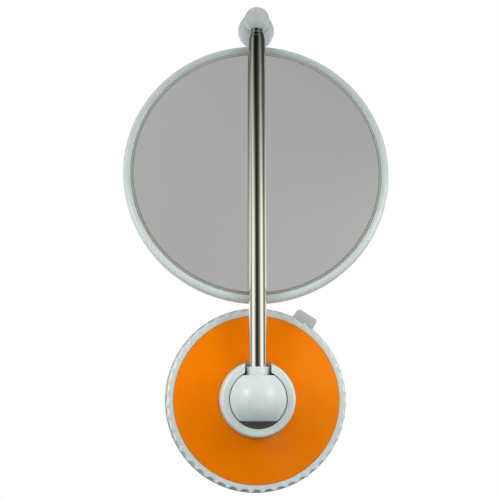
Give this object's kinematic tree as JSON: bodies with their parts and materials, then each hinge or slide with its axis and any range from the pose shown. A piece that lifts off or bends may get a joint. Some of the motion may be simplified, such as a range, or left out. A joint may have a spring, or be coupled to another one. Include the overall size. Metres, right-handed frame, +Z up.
{
  "type": "extendable shaving mirror",
  "caption": "Round wall mirror on a telescopic chrome arm, ball-jointed to a twist-lock suction base with a scalloped ring and glossy orange cover.",
  "frame": {"origin": "centre of the suction cup's flat back, on the wall plane", "axes": "+Y into the wall, so the base faces -Y; +Z up along the folded arm; +X to the viewer's right"},
  "size_m": [0.16, 0.0466, 0.2916],
  "materials": {
    "white_plastic": "moulded ABS, cool white, glossy",
    "orange_plastic": "moulded ABS, bright orange, high gloss",
    "chrome_tube": "chrome-plated brass tube, mirror bright",
    "steel": "zinc-plated steel",
    "brass": "turned brass",
    "cup_pvc": "soft translucent PVC",
    "acetal": "natural acetal",
    "mirror_glass": "silvered float glass with a narrow polished bevel",
    "foam": "double-sided foam tape"
  },
  "bodies": {
    "base": {"base_housing": "white_plastic", "suction_cup": "cup_pvc", "cover_disc": "orange_plastic", "cover_screw_1": "steel", "cover_screw_2": "steel", "cover_screw_3": "steel"},
    "ring": {"grip_ring": "white_plastic"},
    "plunger": {"plunger": "acetal", "plunger_screw": "steel", "cup_insert": "brass"},
    "socket": {"socket_collar": "white_plastic", "ball_seat": "acetal", "seat_spring": "steel", "thrust_washer": "acetal"},
    "ball": {"base_ball": "white_plastic", "ball_cap": "white_plastic"},
    "arm_outer": {"outer_tube": "chrome_tube", "tube_plug": "brass"},
    "arm_middle": {"middle_tube": "chrome_tube", "middle_bush": "brass"},
    "arm_inner": {"inner_tube": "chrome_tube", "inner_bush": "brass", "arm_end_ball": "white_plastic", "pivot_washer": "steel", "pivot_screw": "steel"},
    "knuckle": {"knuckle_front": "white_plastic", "knuckle_rear": "white_plastic", "knuckle_screw_left": "steel", "knuckle_screw_right": "steel"},
    "mirror": {"tilt_barrel": "white_plastic", "mirror_frame": "white_plastic", "mirror_glass": "mirror_glass", "glass_pad": "foam", "mirror_back": "white_plastic", "back_screw_1": "steel", "back_screw_2": "steel", "back_screw_3": "steel", "back_screw_4": "steel", "tongue_screw_1": "steel", "tongue_screw_2": "steel"}
  },
  "joints": [
    {"name": "ring_twist", "type": "hinge", "parent": "base", "child": "ring", "pos_m": [0, -0.009, 0], "axis": [0, 1, 0], "range_deg": [0, 60]},
    {"name": "plunger_slide", "type": "slide", "parent": "base", "child": "plunger", "axis": [0, -1, 0], "range_m": [0, 0.003], "deforming": ["suction_cup"]},
    {"name": "socket_swivel", "type": "hinge", "parent": "base", "child": "socket", "pos_m": [0, -0.03, 0], "axis": [0, 1, 0], "continuous": true},
    {"name": "arm_tilt", "type": "hinge", "parent": "socket", "child": "ball", "pos_m": [0, -0.03, 0], "axis": [1, 0, 0], "range_deg": [0, 135]},
    {"name": "arm_spin", "type": "hinge", "parent": "ball", "child": "arm_outer", "pos_m": [0, -0.03, 0], "axis": [0, 0, 1], "continuous": true},
    {"name": "middle_slide", "type": "slide", "parent": "arm_outer", "child": "arm_middle", "axis": [0, 0, 1], "range_m": [0, 0.17]},
    {"name": "inner_slide", "type": "slide", "parent": "arm_middle", "child": "arm_inner", "axis": [0, 0, 1], "range_m": [0, 0.17]},
    {"name": "mirror_swing", "type": "hinge", "parent": "arm_inner", "child": "knuckle", "pos_m": [0, -0.0261, 0.228], "axis": [0, 1, 0], "continuous": true},
    {"name": "mirror_tilt", "type": "hinge", "parent": "knuckle", "child": "mirror", "pos_m": [0, -0.0179, 0.2266], "axis": [1, 0, 0], "range_deg": [0, 100]}
  ],
  "couplings": [
    {"joint": "plunger_slide", "follows": "ring_twist", "m_per_rad": 0.0028648}
  ]
}
